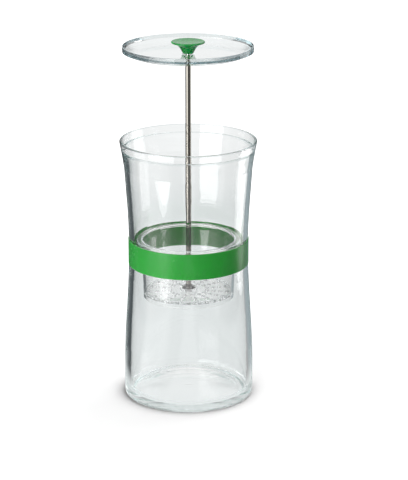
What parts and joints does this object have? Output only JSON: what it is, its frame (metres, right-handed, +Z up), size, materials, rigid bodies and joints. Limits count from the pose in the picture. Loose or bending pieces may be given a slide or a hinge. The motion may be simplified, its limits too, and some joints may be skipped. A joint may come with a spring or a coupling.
{
  "type": "herb keeper",
  "caption": "Waisted clear jar with a green grip band; a dished clear lid, trumpet knob, steel rod and perforated clear basket draw up out of it together and drop back to shut it.",
  "frame": {"origin": "centre of the foot ring the jar stands on, on the jar's axis", "axes": "+Z up along the jar, the rod and the lift; the object is round about Z, so X and Y are free, and -Y is taken as the front"},
  "size_m": [0.1082, 0.1082, 0.2881],
  "materials": {
    "jar_glass": "clear, fire-polished",
    "band_silicone": "satin silicone",
    "clear_plastic": "clear, polished",
    "knob_plastic": "satin gloss",
    "rod_steel": "polished stainless",
    "fixing_steel": "plain stainless"
  },
  "bodies": {
    "base": {"jar": "jar_glass", "grip_band": "band_silicone"},
    "lid": {"lid": "clear_plastic"},
    "stem": {"knob": "knob_plastic", "rod": "rod_steel", "basket": "clear_plastic", "basket_washer": "fixing_steel", "basket_nut": "fixing_steel"}
  },
  "joints": [
    {"name": "lift", "type": "slide", "parent": "base", "child": "lid", "axis": [0, 0, 1], "range_m": [-0.0766, 0.13]},
    {"name": "turn", "type": "hinge", "parent": "lid", "child": "stem", "pos_m": [0, 0, 0.2766], "axis": [0, 0, 1], "continuous": true}
  ]
}
